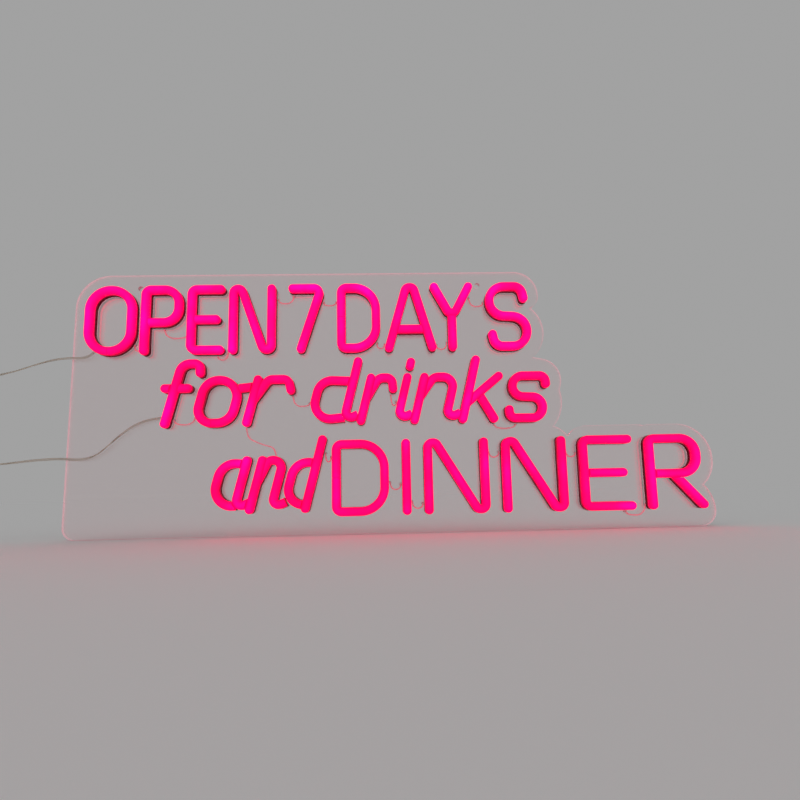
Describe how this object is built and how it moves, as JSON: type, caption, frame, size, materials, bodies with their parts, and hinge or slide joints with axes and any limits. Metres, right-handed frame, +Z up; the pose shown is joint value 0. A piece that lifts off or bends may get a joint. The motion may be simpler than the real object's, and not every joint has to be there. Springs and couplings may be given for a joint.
{
  "type": "neon advertising sign",
  "caption": "Wall sign of three lines of lit neon-flex lettering on a contour-cut clear acrylic backboard, with two clear supply leads",
  "frame": {"origin": "on the wall plane, at the back face of the backboard, midway between the two fixing holes", "axes": "+X to the right along the lettering, +Y into the wall, +Z up; the lettering faces -Y"},
  "size_m": [0.7325, 0.017, 0.2484],
  "materials": {
    "acrylic": "clear polished acrylic sheet",
    "lit_silicone": "translucent silicone diffuser, lit from behind",
    "channel_silicone": "satin pink-red silicone",
    "cap_silicone": "satin silicone",
    "flex_circuit": "white flexible circuit",
    "led_chip": "moulded chip package",
    "clear_wire": "clear insulated thin wire",
    "clear_lead": "clear two-core lead",
    "clip_plastic": "moulded nylon",
    "socket_plastic": "moulded black plastic",
    "plated_pin": "nickel plated"
  },
  "bodies": {
    "root": {"backboard": "acrylic", "base_channels_and": "channel_silicone", "base_channels_days": "channel_silicone", "base_channels_dinner": "channel_silicone", "base_channels_drinks": "channel_silicone", "base_channels_for": "channel_silicone", "base_channels_open": "channel_silicone", "base_channels_seven": "channel_silicone", "dc_socket_1": "socket_plastic", "dc_socket_2": "socket_plastic", "dc_socket_pin_1": "plated_pin", "dc_socket_pin_2": "plated_pin", "diffuser_and_a": "lit_silicone", "diffuser_and_d": "lit_silicone", "diffuser_and_n": "lit_silicone", "diffuser_days_a": "lit_silicone", "diffuser_days_d": "lit_silicone", "diffuser_days_s": "lit_silicone", "diffuser_days_y": "lit_silicone", "diffuser_dinner_d": "lit_silicone", "diffuser_dinner_e": "lit_silicone", "diffuser_dinner_i": "lit_silicone", "diffuser_dinner_n1": "lit_silicone", "diffuser_dinner_n2": "lit_silicone", "diffuser_dinner_r": "lit_silicone", "diffuser_drinks_d": "lit_silicone", "diffuser_drinks_i": "lit_silicone", "diffuser_drinks_k": "lit_silicone", "diffuser_drinks_n": "lit_silicone", "diffuser_drinks_r": "lit_silicone", "diffuser_drinks_s": "lit_silicone", "diffuser_for_f": "lit_silicone", "diffuser_for_o": "lit_silicone", "diffuser_for_r": "lit_silicone", "diffuser_open_e": "lit_silicone", "diffuser_open_n": "lit_silicone", "diffuser_open_o": "lit_silicone", "diffuser_open_p": "lit_silicone", "diffuser_seven_7": "lit_silicone", "end_caps_row_1": "cap_silicone", "end_caps_row_2": "cap_silicone", "end_caps_row_3": "cap_silicone", "jumper_wires_row_1": "clear_wire", "jumper_wires_row_2": "clear_wire", "jumper_wires_row_3": "clear_wire", "lead_1": "clear_lead", "lead_2": "clear_lead", "lead_clip_1": "clip_plastic", "lead_clip_2": "clip_plastic", "led_chips_row_1": "led_chip", "led_chips_row_2": "led_chip", "led_chips_row_3": "led_chip", "led_strips_row_1": "flex_circuit", "led_strips_row_2": "flex_circuit", "led_strips_row_3": "flex_circuit", "row_link_wire": "clear_wire"}
  },
  "joints": []
}
